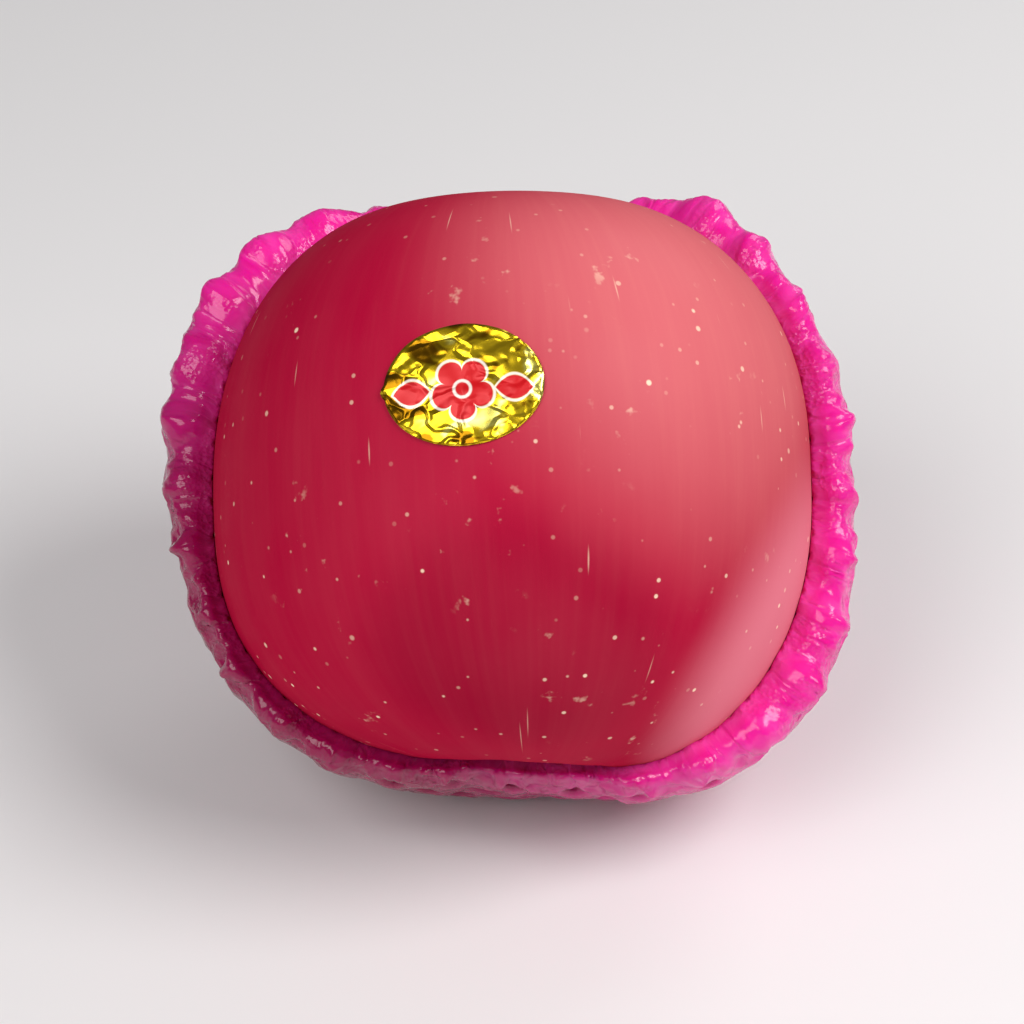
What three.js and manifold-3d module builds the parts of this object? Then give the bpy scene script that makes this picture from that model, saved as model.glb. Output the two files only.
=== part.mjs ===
// A fuji apple as it is sold for gifts: the fruit leans back in a sleeve of foam net, with the
// sleeve's mouth open towards the viewer, and a foil label on the side that shows.
//
// Millimetres, +Z up. The origin is on the surface that the net rests on, straight below the
// middle of the fruit, and -Y is the side that faces the viewer. The fruit also has a frame of its
// own, with its origin in its middle and +Z from the eye (calyx) to the stalk.

import * as THREE from 'three';
import { mergeVertices } from 'three/addons/utils/BufferGeometryUtils.js';
import Module from 'manifold-3d';

const wasm = await Module();
wasm.setup();

const { cos, sin, exp, hypot, atan2, acos, sign, abs, PI } = Math;
const radians = THREE.MathUtils.degToRad;
const vector = (x, y, z) => new THREE.Vector3(x, y, z);

// ---- Driving dimensions, in millimetres and degrees
const FRUIT = {
  radius: 42.5, // half the width across the middle
  shoulder: 42.7, // middle to the top, before the stalk's cavity is taken out
  base: 40.6, // middle to the bottom, before the eye's basin is taken out
  power: 2.4, // roundness of the outline: 2 is an ellipse, and more is squarer
  lobes: 5, // soft ribs round the eye, one for each seed chamber
  lobeSwell: 0.014, // how far they swell, as a share of the radius
  topSlant: -0.058, // one shoulder stands higher than the other
  baseSlant: 0.165, // and the base is lower on the other side
  skew: 0.033, // the widest part is lower on that side too
};
const CAVITY = { depth: 16, width: 8.5, power: 1.6 }; // the stalk stands in it
const BASIN = { depth: 8, width: 8, power: 1.8 }; // the eye lies in it
const LEAN_BACK = 42; // the fruit's axis, from upright
const LEAN_ASIDE = -3; // and to the viewer's left

const STALK = { radius: 1.35, tip: 2.0, length: 15.5, root: 3, bend: 2.2 };
const EYE = { radius: 2.6, sepals: 5, sepalLength: 6, sepalWidth: 3.4, sepalThickness: 0.8 };
const LABEL = { length: 22.4, height: 17, thickness: 0.35, tab: 1.6, tabWidth: 0.2, turn: 1 };
const LABEL_PLACE = vector(-6.7, -41.9, 14.1); // from the middle, for a viewer who looks along +Y
const VIEW_ELEVATION = 36; // and who then moves up to this height above the horizon

const NET = {
  columns: 32, // diamonds round the sleeve
  strand: 7.6, // one side of a diamond, which is the same all over the net
  halfWidth: 2.2, // of a strand where two cross
  tipHalfWidth: 3.3, // of the round tips that the fold makes along the mouth
  gap: 0.6, // fruit to net
  valley: 4.4, // fruit to the edge of a strand's outer face
  ridge: 5.6, // fruit to the crest of a strand
  flare: 1.3, // the folded mouth stands off the fruit by this much more
  rowsToMouth: 6, // rows of crossings from the resting spot up to the mouth
  rowsToTail: 3, // and down to the cut tail
  mouthElevation: 46, // the mouth's direction above the horizon
  dip: 24, // degrees by which the mouth lies further back behind the stalk
  dipWidth: 34, // half the width of that dip, in degrees round the mouth
  pressed: 3.0, // thickness left where the fruit's weight presses the foam flat
};
const CLEARANCE = 0.35; // between pieces that touch

// ---- Closed meshes as solids, for cuts and joins
function closedGeometry(geometry) {
  const bare = geometry.clone();
  bare.deleteAttribute('normal');
  bare.deleteAttribute('uv');
  const merged = mergeVertices(bare, 1e-4);
  const kept = [];
  const index = merged.index.array;
  for (let i = 0; i < index.length; i += 3) {
    const [a, b, c] = [index[i], index[i + 1], index[i + 2]];
    if (a !== b && b !== c && c !== a) kept.push(a, b, c); // drops slivers on a lathe's axis
  }
  merged.setIndex(kept);
  return merged;
}

function solidOf(geometry) {
  const closed = closedGeometry(geometry);
  return new wasm.Manifold(new wasm.Mesh({
    numProp: 3,
    vertProperties: closed.attributes.position.array,
    triVerts: new Uint32Array(closed.index.array),
  }));
}

function geometryOf(solid) {
  const mesh = solid.getMesh();
  return new THREE.BufferGeometry()
    .setAttribute('position', new THREE.BufferAttribute(mesh.vertProperties, 3))
    .setIndex(new THREE.BufferAttribute(mesh.triVerts, 1));
}

function reshape(geometry, place) {
  const position = geometry.attributes.position;
  const point = vector(0, 0, 0);
  for (let i = 0; i < position.count; i += 1) {
    place(point.fromBufferAttribute(position, i));
    position.setXYZ(i, point.x, point.y, point.z);
  }
  return geometry;
}

// A profile of [radius, height] pairs, turned about Z. It runs from its lowest point up.
function turned(profile, segments) {
  const points = profile.map(([r, z]) => new THREE.Vector2(r, z));
  return new THREE.LatheGeometry(points, segments).rotateX(PI / 2);
}

// ---- The fruit's own surface, in its own frame
// Distance from the middle to the outside along a direction, with the cavity and basin filled.
function bodyRadius(d) {
  const across = hypot(d.x, d.y);
  const reach = d.z > 0 ? FRUIT.shoulder : FRUIT.base;
  const round = (across / FRUIT.radius) ** FRUIT.power + (abs(d.z) / reach) ** FRUIT.power;
  const low = Math.max(0, -d.z);
  const lobes = FRUIT.lobeSwell * cos(FRUIT.lobes * atan2(d.y, d.x)) * across * across * low;
  const slant = (d.z > 0 ? FRUIT.topSlant : FRUIT.baseSlant) * d.x * d.z ** 4;
  return round ** (-1 / FRUIT.power) * (1 + lobes + slant + FRUIT.skew * d.x * d.z);
}

// The skin along a direction, with the cavity or basin sunk into it.
function skinPoint(d) {
  const p = d.clone().multiplyScalar(bodyRadius(d));
  const hollow = d.z > 0 ? CAVITY : BASIN;
  p.z -= sign(d.z) * hollow.depth * exp(-((hypot(p.x, p.y) / hollow.width) ** hollow.power));
  return p;
}

function appleSolid() {
  const rings = 34;
  const segments = 60;
  const ball = new THREE.SphereGeometry(1, segments, rings).rotateX(PI / 2);
  const skin = reshape(ball, (p) => {
    // Rings are closer together near the poles, where the hollows are.
    const angle = acos(THREE.MathUtils.clamp(p.z, -1, 1));
    const eased = angle - 0.28 * sin(2 * angle);
    const turn = atan2(p.y, p.x);
    const onAxis = sin(angle) < 1e-6;
    const across = onAxis ? 0 : sin(eased);
    p.copy(skinPoint(vector(across * cos(turn), across * sin(turn), cos(eased))));
  });
  const socketRadius = STALK.radius + CLEARANCE;
  const floor = FRUIT.shoulder - CAVITY.depth;
  const socketDepth = STALK.root + CLEARANCE;
  const socket = turned([
    [0, floor - socketDepth], [socketRadius, floor - socketDepth], [socketRadius, floor + 4], [0, floor + 4],
  ], 12);
  return solidOf(skin).subtract(solidOf(socket));
}

// ---- The stalk: a short woody stem, thicker at its cut tip, bent a little
function stalkGeometry() {
  const { radius, tip, length, bend } = STALK;
  const foot = FRUIT.shoulder - CAVITY.depth - STALK.root;
  const profile = [
    [0, 0], [radius, 0], [radius, 0.25 * length], [0.9 * radius, 0.55 * length],
    [1.1 * radius, 0.8 * length], [tip, 0.95 * length], [0.8 * tip, length], [0, length],
  ];
  return reshape(turned(profile, 10), (p) => {
    const up = Math.max(0, p.z - STALK.root) / (length - STALK.root);
    p.x += bend * up * up;
    p.z += foot;
  });
}

// ---- The eye: what is left of the flower, five dry sepals on a button in the basin
function basinFloor(across) {
  const sink = BASIN.depth * exp(-((across / BASIN.width) ** BASIN.power));
  return -FRUIT.base * (1 - (across / FRUIT.radius) ** FRUIT.power) ** (1 / FRUIT.power) + sink;
}

function sepalSolid(turn) {
  const { sepalLength: length, sepalWidth: width, sepalThickness: thickness } = EYE;
  const leaf = new THREE.Shape();
  leaf.moveTo(0, -width / 2);
  leaf.quadraticCurveTo(0.5 * length, -0.6 * width, length, 0);
  leaf.quadraticCurveTo(0.5 * length, 0.6 * width, 0, width / 2);
  leaf.closePath();
  const blade = new THREE.ExtrudeGeometry(leaf, {
    depth: thickness, bevelEnabled: false, curveSegments: 4,
  });
  // The blade stands out of the basin, arching outwards to its tip.
  reshape(blade, (p) => {
    const along = p.x / length;
    const out = EYE.radius - 1.1 + 2.6 * along * along + p.z;
    const drop = 5.2 * along - 1.2 * along * along;
    p.set(out, p.y * (1 - 0.2 * along), basinFloor(EYE.radius) - CLEARANCE - 0.4 - drop);
  });
  return solidOf(blade.rotateZ(turn));
}

function eyeSolid() {
  const top = (across) => basinFloor(across) - CLEARANCE;
  const r = EYE.radius;
  const face = top(r) - 1.1;
  const button = turned([[0, face], [r, face], [r, top(r)], [0.5 * r, top(0.5 * r)], [0, top(0)]], 15);
  let eye = solidOf(button);
  for (let i = 0; i < EYE.sepals; i += 1) eye = eye.add(sepalSolid(i * 2 * PI / EYE.sepals));
  return eye;
}

// ---- Where the fruit lies
const lean = new THREE.Quaternion().setFromEuler(
  new THREE.Euler(radians(-LEAN_BACK), radians(LEAN_ASIDE), 0));
const unlean = lean.clone().invert();
const bodyReach = (direction) => bodyRadius(direction.clone().applyQuaternion(unlean));

// The lowest point of the leaning skin, looked for round the straight-down direction.
function lowestSkin() {
  let lowest = 0;
  for (let tilt = 0; tilt <= 30; tilt += 1) {
    for (let turn = 0; turn < 360; turn += 10) {
      const t = radians(tilt);
      const d = vector(sin(t) * cos(radians(turn)), sin(t) * sin(radians(turn)), -cos(t));
      lowest = Math.min(lowest, d.z * bodyReach(d));
    }
  }
  return lowest;
}
const MIDDLE = vector(0, 0, NET.pressed - lowestSkin());

// A point off the fruit's filled outside, along a direction in the part's frame.
function offBody(direction, offset) {
  return direction.clone().multiplyScalar(bodyReach(direction) + offset).add(MIDDLE);
}

// ---- The label: an oval of foil with a small pull tab, wrapped on the skin
function labelGeometry() {
  const rings = [0.25, 0.5, 0.75, 1];
  const profile = [[0, 0], ...rings.map((r) => [r, 0]), ...rings.toReversed().map((r) => [r, 1]), [0, 1]];
  const facing = new THREE.Quaternion().setFromEuler(new THREE.Euler(radians(-VIEW_ELEVATION), 0, 0));
  const outward = LABEL_PLACE.clone().normalize().applyQuaternion(facing);
  const right = vector(1, 0, 0).addScaledVector(outward, -outward.x).normalize();
  const up = outward.clone().cross(right);
  const twist = radians(LABEL.turn);
  const lengthwise = right.clone().multiplyScalar(cos(twist)).addScaledVector(up, sin(twist));
  const crosswise = up.clone().multiplyScalar(cos(twist)).addScaledVector(right, -sin(twist));
  const centre = outward.clone().multiplyScalar(bodyReach(outward));
  return reshape(turned(profile, 48), (p) => {
    const fromTab = abs(atan2(p.y, -p.x));
    const tab = LABEL.tab * Math.max(0, 1 - (fromTab / LABEL.tabWidth) ** 2) * hypot(p.x, p.y) ** 4;
    const along = 0.5 * LABEL.length * p.x - tab;
    const over = 0.5 * LABEL.height * p.y;
    const offset = CLEARANCE + p.z * LABEL.thickness;
    const d = centre.clone().addScaledVector(lengthwise, along).addScaledVector(crosswise, over);
    p.copy(offBody(d.normalize(), offset));
  });
}

// ---- The foam net: strands that cross in diamonds, from the mouth's fold to the cut tail
const mouth = vector(0, -cos(radians(NET.mouthElevation)), sin(radians(NET.mouthElevation)));
const lowSide = vector(0, -mouth.z, mouth.y); // the side of the mouth nearest the surface
const rightSide = vector(1, 0, 0);

// Angle of each row of crossings from the mouth's direction. A strand keeps its length, so the
// rows lie further apart where the sleeve narrows. One row passes through the resting spot.
function rowAngles() {
  const spot = PI / 2 + radians(NET.mouthElevation);
  const reach = FRUIT.radius + NET.valley;
  const step = (angle) => {
    const halfPitch = PI * reach * sin(angle) / NET.columns;
    return Math.sqrt(NET.strand ** 2 - halfPitch ** 2) / reach;
  };
  const angles = [spot];
  for (let i = 0; i < NET.rowsToMouth; i += 1) angles.unshift(angles[0] - step(angles[0]));
  for (let i = 0; i < NET.rowsToTail; i += 1) angles.push(angles.at(-1) + step(angles.at(-1)));
  return angles;
}
const rows = rowAngles();

// A point of the net: its angle from the mouth, its turn round the mouth, and its height off the fruit.
function netPoint(angle, turn, height) {
  const toMouth = (rows.at(-1) - angle) / (rows.at(-1) - rows[0]); // 1 at the mouth, 0 at the tail
  const fromTop = acos(-cos(turn)) / radians(NET.dipWidth);
  const a = angle + radians(NET.dip) * exp(-(fromTop ** 2)) * toMouth;
  const side = lowSide.clone().multiplyScalar(cos(turn)).addScaledVector(rightSide, sin(turn));
  const d = mouth.clone().multiplyScalar(cos(a)).addScaledVector(side, sin(a));
  const p = offBody(d, height + NET.flare * Math.max(0, toMouth) ** 4);
  if (height > NET.gap) p.z = Math.max(p.z, 0); // the foam is pressed flat where it rests
  return p;
}

function netGeometry() {
  const points = [];
  const faces = [];
  const put = (p) => points.push(p) - 1;
  const face = (...corners) => { // a fan of triangles, counter-clockwise from outside
    for (let i = 1; i < corners.length - 1; i += 1) faces.push(corners[0], corners[i], corners[i + 1]);
  };
  const reach = FRUIT.radius + NET.valley;
  const pitch = 2 * PI / NET.columns;
  const last = rows.length - 1;
  // The row through the resting spot has a crossing straight below the fruit.
  const shift = (row) => ((row - NET.rowsToMouth) % 2 === 0 ? 0 : 0.5);

  // Corners of one crossing: n, e, s and w lie between its strands, on both faces, and c is its crest.
  function crossing(row, column) {
    const turn = (column + shift(row)) * pitch;
    const halfPitch = 0.5 * pitch * reach * sin(rows[row]);
    const wide = row === 0 ? NET.tipHalfWidth : Math.min(NET.halfWidth, 0.6 * halfPitch);
    const corner = (across, up, height) => netPoint(
      rows[row] - up / reach, turn + across / (reach * sin(rows[row])), height);
    const faceAt = (height, share) => ({
      n: put(corner(0, share * NET.halfWidth, height)),
      e: put(corner(share * wide, 0, height)),
      s: put(corner(0, -share * NET.halfWidth, height)),
      w: put(corner(-share * wide, 0, height)),
    });
    const made = { outer: faceAt(NET.valley, 0.86), inner: faceAt(NET.gap, 1), crest: 0, rim: null };
    made.crest = put(corner(0, 0, NET.ridge));
    if (row === 0) { // the fold makes a round tip on each crossing of the mouth
      const shoulder = (side, height, share) => put(corner(
        side * 0.8 * share * wide, 0.75 * share * NET.halfWidth, height));
      made.rim = [1, -1].map((side) => ({
        outer: shoulder(side, NET.valley, 0.86), inner: shoulder(side, NET.gap, 1),
      }));
    }
    return made;
  }
  const grid = rows.map((_, row) => Array.from({ length: NET.columns }, (_, column) => crossing(row, column)));
  const at = (row, column) => grid[row][(column + NET.columns) % NET.columns];

  // A wall from an edge of the outer face, given in that face's own order, down to the inner face.
  const wall = (outerFrom, outerTo, innerFrom, innerTo) => face(outerTo, outerFrom, innerFrom, innerTo);

  for (let row = 0; row <= last; row += 1) {
    for (let column = 0; column < NET.columns; column += 1) {
      const a = at(row, column);
      const { outer, inner, crest } = a;
      if (row > 0) { // two strands run up from this crossing
        const right = at(row - 1, column + (shift(row) > shift(row - 1) ? 1 : 0));
        const left = at(row - 1, column - (shift(row) > shift(row - 1) ? 0 : 1));
        face(crest, right.crest, right.outer.w, outer.n);
        face(crest, outer.e, right.outer.s, right.crest);
        face(crest, outer.n, left.outer.e, left.crest);
        face(crest, left.crest, left.outer.s, outer.w);
        face(right.inner.w, right.inner.s, inner.e, inner.n);
        face(left.inner.s, left.inner.e, inner.n, inner.w);
        wall(right.outer.w, outer.n, right.inner.w, inner.n);
        wall(outer.e, right.outer.s, inner.e, right.inner.s);
        wall(outer.n, left.outer.e, inner.n, left.inner.e);
        wall(left.outer.s, outer.w, left.inner.s, inner.w);
        face(inner.s, inner.w, inner.n, inner.e);
      } else {
        const [east, west] = a.rim;
        const outerRim = [outer.e, east.outer, outer.n, west.outer, outer.w];
        const innerRim = [inner.e, east.inner, inner.n, west.inner, inner.w];
        for (let i = 0; i < 4; i += 1) {
          face(crest, outerRim[i], outerRim[i + 1]);
          wall(outerRim[i], outerRim[i + 1], innerRim[i], innerRim[i + 1]);
        }
        face(inner.s, ...innerRim.toReversed());
      }
      if (row === last) { // the cut tail
        face(crest, outer.w, outer.s);
        face(crest, outer.s, outer.e);
        wall(outer.w, outer.s, inner.w, inner.s);
        wall(outer.s, outer.e, inner.s, inner.e);
      }
    }
  }
  const flat = new Float32Array(points.flatMap((p) => [p.x, p.y, p.z]));
  return new THREE.BufferGeometry().setAttribute('position', new THREE.BufferAttribute(flat, 3)).setIndex(faces);
}

// ---- Materials and assembly
const finish = {
  skin: new THREE.MeshStandardMaterial({ color: 0xb5213f, roughness: 0.42 }),
  wood: new THREE.MeshStandardMaterial({ color: 0x5a3b22, roughness: 0.85 }),
  dryLeaf: new THREE.MeshStandardMaterial({ color: 0x6b5633, roughness: 0.9 }),
  foam: new THREE.MeshStandardMaterial({ color: 0xe01b8c, roughness: 0.35 }),
  foil: new THREE.MeshStandardMaterial({ color: 0xe3b52e, roughness: 0.25, metalness: 0.9 }),
};

function piece(name, geometry, material) {
  const mesh = new THREE.Mesh(geometry, material);
  mesh.name = name;
  return mesh;
}

const fruit = new THREE.Group();
fruit.add(
  piece('apple', geometryOf(appleSolid()), finish.skin),
  piece('stalk', closedGeometry(stalkGeometry()), finish.wood),
  piece('calyx', geometryOf(eyeSolid()), finish.dryLeaf),
);
fruit.quaternion.copy(lean);
fruit.position.copy(MIDDLE);

const part = new THREE.Group();
part.add(
  fruit,
  piece('label', closedGeometry(labelGeometry()), finish.foil),
  piece('foam_net', netGeometry(), finish.foam),
);

export default part;
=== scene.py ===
# %% [markdown]
# # A fuji apple in its foam net
#
# This lesson dresses a plain solid model of one fuji apple: the fruit, its stalk, the dried eye, a
# foil label and the net of foamed plastic that it is sold in. The solid model gives every piece its
# place and size. What is made here is what the eye sees on top of that: the wax and dots of the
# skin, the rounded strands of the net, and the crinkles of the foil.

# %% Load the solid model and keep its size
import math

import bmesh
import bpy
from mathutils import Matrix, Vector, noise


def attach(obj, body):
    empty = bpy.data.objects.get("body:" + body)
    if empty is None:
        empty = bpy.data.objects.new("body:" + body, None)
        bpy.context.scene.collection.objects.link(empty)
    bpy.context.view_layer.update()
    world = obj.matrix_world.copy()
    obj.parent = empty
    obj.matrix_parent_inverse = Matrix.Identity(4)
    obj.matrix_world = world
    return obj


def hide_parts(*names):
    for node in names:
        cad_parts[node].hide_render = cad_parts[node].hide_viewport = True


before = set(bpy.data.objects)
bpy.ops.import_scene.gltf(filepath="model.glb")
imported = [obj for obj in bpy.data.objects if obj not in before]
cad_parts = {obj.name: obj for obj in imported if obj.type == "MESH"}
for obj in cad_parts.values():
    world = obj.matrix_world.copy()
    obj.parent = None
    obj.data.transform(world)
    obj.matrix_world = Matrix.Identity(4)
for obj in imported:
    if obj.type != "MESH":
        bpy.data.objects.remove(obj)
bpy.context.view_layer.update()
MM = 0.001
NOISE_SEED = 5
noise.seed_set(NOISE_SEED)

# %% [markdown]
# ## Where the fruit lies
#
# The fruit leans back, so its stalk points up and away from the viewer. It is easiest to model it
# upright in a frame of its own, with +Z from the eye to the stalk, and to lean every finished point.
# The camera looks down on it from 36 degrees above the horizon.

# %% The lean and the directions of the view
LEAN_BACK = math.radians(42)
LEAN_ASIDE = math.radians(-3)
VIEW_HEIGHT = math.radians(36)

lean = Matrix.Rotation(-LEAN_BACK, 3, "X") @ Matrix.Rotation(LEAN_ASIDE, 3, "Y")
unlean = lean.transposed()
to_viewer = Vector((0, -math.cos(VIEW_HEIGHT), math.sin(VIEW_HEIGHT)))
picture_up = Vector((0, math.sin(VIEW_HEIGHT), math.cos(VIEW_HEIGHT)))
picture_right = Vector((1, 0, 0))
print("stalk points along", [round(part, 2) for part in lean @ Vector((0, 0, 1))])

# %% [markdown]
# ## The shape of the fruit
#
# A fuji apple is a little squarer than a ball, with a wide cavity at the stalk, a shallower basin at
# the eye, and five soft ribs round that basin. It could be a subdivided cage, but a formula for the
# distance from the middle to the skin is worth more here, because the label and the net are laid on
# the same surface and have to follow it exactly.

# %% The skin as a function of direction
RADIUS = 42.5 * MM
SHOULDER = 42.7 * MM
BASE = 40.6 * MM
SQUARENESS = 2.4
RIBS = 5
RIB_SWELL = 0.014
TOP_SLANT = -0.058
BASE_SLANT = 0.165
SKEW = 0.033
CAVITY = {"depth": 16 * MM, "width": 8.5 * MM, "power": 1.6}
BASIN = {"depth": 8 * MM, "width": 8 * MM, "power": 1.8}


def filled_radius(d):
    """Distance from the middle to the outside along a direction, with both hollows filled."""
    across = math.hypot(d.x, d.y)
    reach = SHOULDER if d.z > 0 else BASE
    around = (across / RADIUS) ** SQUARENESS + (abs(d.z) / reach) ** SQUARENESS
    ribs = RIB_SWELL * math.cos(RIBS * math.atan2(d.y, d.x)) * across**2 * max(0.0, -d.z)
    slant = (TOP_SLANT if d.z > 0 else BASE_SLANT) * d.x * d.z**4
    return around ** (-1 / SQUARENESS) * (1 + ribs + slant + SKEW * d.x * d.z)


def hollow_depth(hollow, across):
    return hollow["depth"] * math.exp(-((across / hollow["width"]) ** hollow["power"]))


def skin_point(d):
    """A point of the skin in the fruit's own frame, with the hollows sunk and a slight unevenness."""
    p = d * filled_radius(d)
    across = math.hypot(p.x, p.y)
    if d.z > 0:
        p.z -= hollow_depth(CAVITY, across)
    else:
        folds = 0.1 * MM * math.cos(2 * RIBS * math.atan2(d.y, d.x))
        p.z += hollow_depth(BASIN, across) + folds * math.exp(-((across / (9 * MM) - 1) ** 2) * 4)
    return p * (1 + 0.004 * noise.noise(p / (19 * MM)))


# %% The height of the fruit's middle above the table
FOAM_PRESSED = 3.0 * MM


def lowest_skin():
    """The lowest point of the leaning fruit, looked for round the straight-down direction."""
    lowest = 0.0
    for tilt in range(31):
        for turn in range(0, 360, 10):
            t = math.radians(tilt)
            around = math.radians(turn)
            d = Vector((math.sin(t) * math.cos(around), math.sin(t) * math.sin(around), -math.cos(t)))
            lowest = min(lowest, d.z * filled_radius(unlean @ d))
    return lowest


middle = Vector((0, 0, FOAM_PRESSED - lowest_skin()))


def off_fruit(d, height):
    """A point outside the filled skin, along a direction in the picture's frame."""
    return middle + d * (filled_radius(unlean @ d) + height)


print("middle of the fruit stands at", round(middle.z / MM, 1), "mm")

# %% [markdown]
# ## Small helpers
#
# Every finished piece is a mesh object at the origin with its place in its points. A material is one
# surface shader with nodes in front of it, so one helper makes a node and links its inputs.


# %% Helpers for pieces
def piece_from(bm, name, nodes):
    """Turns a worked mesh into a smooth-shaded piece that stands for solid nodes."""
    mesh = bpy.data.meshes.new(name)
    bm.to_mesh(mesh)
    bm.free()
    mesh.polygons.foreach_set("use_smooth", [True] * len(mesh.polygons))
    piece = bpy.data.objects.new(name, mesh)
    bpy.context.scene.collection.objects.link(piece)
    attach(piece, "root")
    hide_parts(*nodes)
    print(name, "has", len(mesh.polygons), "faces")
    return piece


def apply_modifiers(piece):
    """Puts what the modifiers make into the piece's own mesh."""
    view = bpy.context.evaluated_depsgraph_get()
    finished = bpy.data.meshes.new_from_object(piece.evaluated_get(view))
    piece.modifiers.clear()
    plain = piece.data
    piece.data = finished
    bpy.data.meshes.remove(plain)


# %% Helpers for materials
def linear(red, green, blue):
    """A colour given as it looks on a screen, 0 to 255, as the shader wants it."""
    parts = [c / 255 for c in (red, green, blue)]
    return tuple(c / 12.92 if c <= 0.04045 else ((c + 0.055) / 1.055) ** 2.4 for c in parts) + (1.0,)


class Paint:
    """A material with one surface shader, and short calls that add nodes in front of it."""

    def __init__(self, name, **sockets):
        self.material = bpy.data.materials.new(name)
        self.material.use_nodes = True
        self.tree = self.material.node_tree
        self.shader = self.tree.nodes["Principled BSDF"]
        self.into(self.shader, **sockets)

    def into(self, target, **sockets):
        """Sets or links sockets, named with underscores for spaces, or i and a number."""
        for key, value in sockets.items():
            numbered = key[0] == "i" and key[1:].isdigit()
            socket = target.inputs[int(key[1:]) if numbered else key.replace("_", " ")]
            if isinstance(value, bpy.types.NodeSocket):
                self.tree.links.new(value, socket)
            else:
                socket.default_value = value

    def add(self, kind, settings=None, **sockets):
        node = self.tree.nodes.new(kind)
        for key, value in (settings or {}).items():
            setattr(node, key, value)
        self.into(node, **sockets)
        return node

    def math(self, operation, a, b=0.0, c=0.0):
        node = self.add("ShaderNodeMath", {"operation": operation}, i0=a, i1=b, i2=c)
        return node.outputs[0]

    def ramp(self, value, low, high, to_low=0.0, to_high=1.0):
        """A value mapped smoothly from one range to another."""
        node = self.add(
            "ShaderNodeMapRange", {"interpolation_type": "SMOOTHSTEP"},
            Value=value, From_Min=low, From_Max=high, To_Min=to_low, To_Max=to_high)
        return node.outputs["Result"]

    def blend(self, factor, first, second):
        node = self.add("ShaderNodeMix", {"data_type": "RGBA"}, i0=factor, i6=first, i7=second)
        return node.outputs[2]

    def from_middle(self, place):
        """The way from the middle of the fruit to a place."""
        node = self.add("ShaderNodeVectorMath", {"operation": "SUBTRACT"}, i0=place, i1=middle)
        return node.outputs["Vector"]

    def reach(self, way, direction):
        """How far a way goes along a direction, as a share of the fruit's radius."""
        node = self.add(
            "ShaderNodeVectorMath", {"operation": "DOT_PRODUCT"}, i0=way, i1=direction / RADIUS)
        return node.outputs["Value"]

    def noise(self, vector, scale, detail=2.0, roughness=0.5, distortion=0.0):
        node = self.add(
            "ShaderNodeTexNoise", None, Vector=vector, Scale=scale, Detail=detail,
            Roughness=roughness, Distortion=distortion)
        return node.outputs["Fac"]

    def bump(self, height, strength, distance, onto=None):
        node = self.add("ShaderNodeBump", None, Height=height, Strength=strength, Distance=distance)
        if onto is not None:
            self.into(node, Normal=onto)
        return node.outputs["Normal"]


print("helpers ready")

# %% [markdown]
# ## Camera, table and light
#
# The view comes first, so that every piece can be judged in it. The real fruit was seen from above
# the horizon under a light from the upper right. A large soft lamp does that on a pale table, with a
# wider one in front on the left so that no side is lost, and a weak one behind that draws the edge.

# %% The camera
DISTANCE = 0.46
PICTURE_WIDTH = 0.146
AIM_BELOW_MIDDLE = 3.0 * MM

camera_data = bpy.data.cameras.new("camera")
camera_data.lens = camera_data.sensor_width * DISTANCE / PICTURE_WIDTH
camera = bpy.data.objects.new("camera", camera_data)
bpy.context.scene.collection.objects.link(camera)
aim = middle - picture_up * AIM_BELOW_MIDDLE
camera.location = aim + to_viewer * DISTANCE
camera.rotation_mode = "QUATERNION"
camera.rotation_quaternion = (-to_viewer).to_track_quat("-Z", "Y")
bpy.context.scene.camera = camera
print("lens", round(camera_data.lens), "mm")

# %% The table
TABLE_HALF = 3.0

table_bm = bmesh.new()
bmesh.ops.create_grid(table_bm, x_segments=1, y_segments=1, size=TABLE_HALF)
table_mesh = bpy.data.meshes.new("table")
table_bm.to_mesh(table_mesh)
table_bm.free()
table = bpy.data.objects.new("table", table_mesh)
bpy.context.scene.collection.objects.link(table)

table_paint = Paint("pale table", Base_Color=linear(238, 236, 236), Roughness=0.6)
table_mesh.materials.append(table_paint.material)


# %% The lights
def lamp(name, direction, distance, size, power):
    """A round soft lamp that faces the fruit from a direction."""
    data = bpy.data.lights.new(name, "AREA")
    data.shape = "DISK"
    data.size = size
    data.energy = power
    obj = bpy.data.objects.new(name, data)
    bpy.context.scene.collection.objects.link(obj)
    d = Vector(direction).normalized()
    obj.location = middle + d * distance
    obj.rotation_mode = "QUATERNION"
    obj.rotation_quaternion = d.to_track_quat("Z", "Y")
    return obj


lamp("key", (0.78, -0.35, 0.95), 0.75, 0.45, 4.0)
lamp("fill", (-0.62, -0.75, 0.85), 0.9, 0.7, 4.6)
lamp("rim", (0.6, 0.8, 0.6), 0.8, 0.4, 1.0)

world = bpy.data.worlds.new("studio")
world.use_nodes = True
world.node_tree.nodes["Background"].inputs["Color"].default_value = linear(250, 248, 250)
world.node_tree.nodes["Background"].inputs["Strength"].default_value = 0.17
bpy.context.scene.world = world
bpy.context.scene.view_settings.view_transform = "Standard"
print("three lamps and a pale studio")

# %% [markdown]
# ## The fruit
#
# A sphere of rings and segments is moved point by point on to the skin formula. Its poles are where
# the stalk and the eye are, so its rings are the fruit's own circles, and they are drawn closer
# together at the poles, where the hollows bend most. The fruit's own coordinates are kept on the
# mesh, because the colour of an apple runs in streaks from stalk to eye.

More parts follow.
